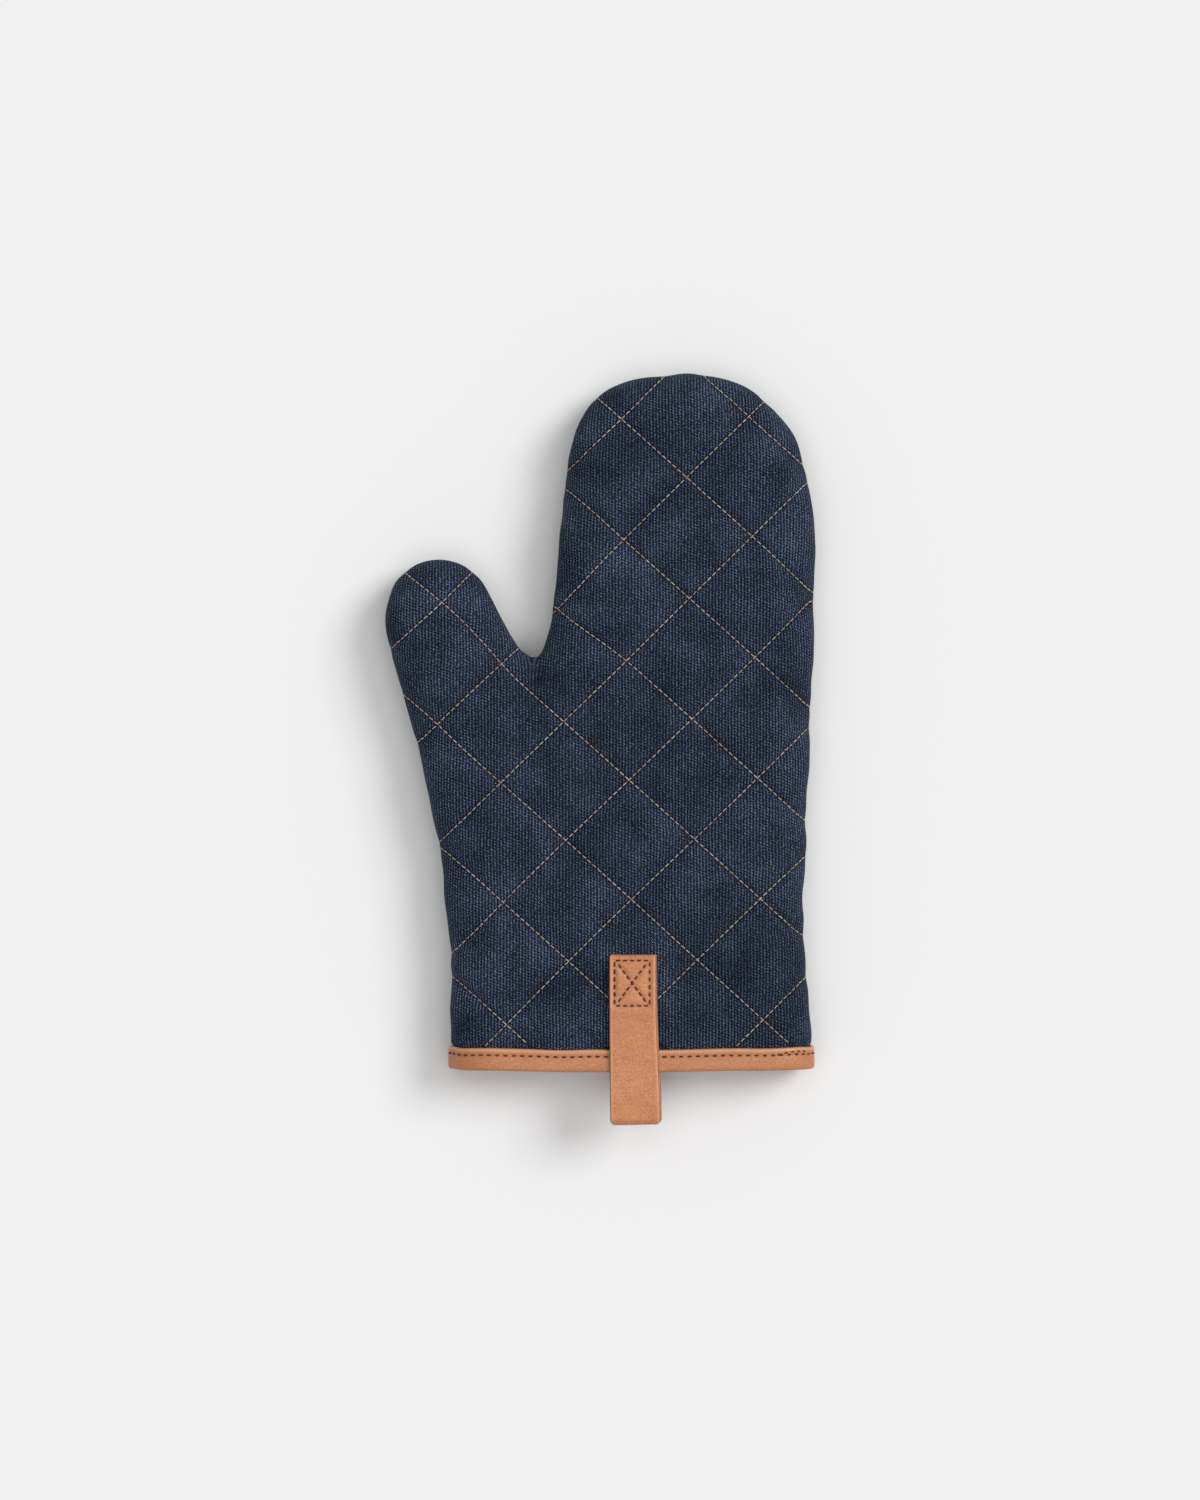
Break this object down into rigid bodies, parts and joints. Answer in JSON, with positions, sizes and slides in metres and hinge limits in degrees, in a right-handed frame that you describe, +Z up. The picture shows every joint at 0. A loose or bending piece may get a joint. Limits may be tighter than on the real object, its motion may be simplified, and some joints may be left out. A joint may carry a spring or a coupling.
{
  "type": "oven mitt",
  "caption": "Quilted cloth oven mitt with a leather-bound cuff and a leather hanging loop; fingers, thumb and loop fold.",
  "frame": {"origin": "under the middle of the mitt, loop included, on the surface it lies on", "axes": "+Y from the cuff to the fingertips, +Z up through the front panel, thumb on the -X side"},
  "size_m": [0.1849, 0.325, 0.0365],
  "materials": {
    "denim_shell": "matte woven indigo canvas",
    "batting": "soft felted wadding",
    "lining_cloth": "matte plain weave",
    "quilting_thread": "twisted thread, slight sheen",
    "seam_thread": "twisted thread",
    "binding_leather": "satin fine grain",
    "loop_leather": "satin fine grain",
    "leather_thread": "waxed twisted thread"
  },
  "bodies": {
    "hand": {"front_palm_shell": "denim_shell", "front_palm_batting": "batting", "front_palm_lining": "lining_cloth", "front_palm_quilting_thread": "quilting_thread", "back_palm_shell": "denim_shell", "back_palm_batting": "batting", "back_palm_lining": "lining_cloth", "back_palm_quilting_thread": "quilting_thread", "seam_thread_thumb_side": "seam_thread", "seam_thread_crotch": "seam_thread", "seam_thread_little_finger_side": "seam_thread", "cuff_binding": "binding_leather", "binding_stitching": "leather_thread", "loop_tab_upper": "loop_leather", "loop_tab_lower": "loop_leather", "loop_box_stitching": "leather_thread"},
    "fingers": {"front_fingers_shell": "denim_shell", "front_fingers_batting": "batting", "front_fingers_lining": "lining_cloth", "front_fingers_quilting_thread": "quilting_thread", "back_fingers_shell": "denim_shell", "back_fingers_batting": "batting", "back_fingers_lining": "lining_cloth", "back_fingers_quilting_thread": "quilting_thread", "seam_thread_fingers": "seam_thread"},
    "thumb": {"front_thumb_shell": "denim_shell", "front_thumb_batting": "batting", "front_thumb_lining": "lining_cloth", "front_thumb_quilting_thread": "quilting_thread", "back_thumb_shell": "denim_shell", "back_thumb_batting": "batting", "back_thumb_lining": "lining_cloth", "back_thumb_quilting_thread": "quilting_thread", "seam_thread_thumb": "seam_thread"},
    "loop": {"hanging_loop": "loop_leather"}
  },
  "joints": [
    {"name": "fingers_fold", "type": "hinge", "parent": "hand", "child": "fingers", "pos_m": [0.036, 0.06, 0.032], "axis": [1, 0, 0], "range_deg": [0, 75]},
    {"name": "thumb_fold", "type": "hinge", "parent": "hand", "child": "thumb", "pos_m": [-0.04461, 0.03819, 0.032], "axis": [0.7121, 0.7021, 0], "range_deg": [0, 60]},
    {"name": "loop_swing", "type": "hinge", "parent": "hand", "child": "loop", "pos_m": [0.0145, -0.1117, 0.0368], "axis": [-1, 0, 0], "range_deg": [0, 165]}
  ]
}
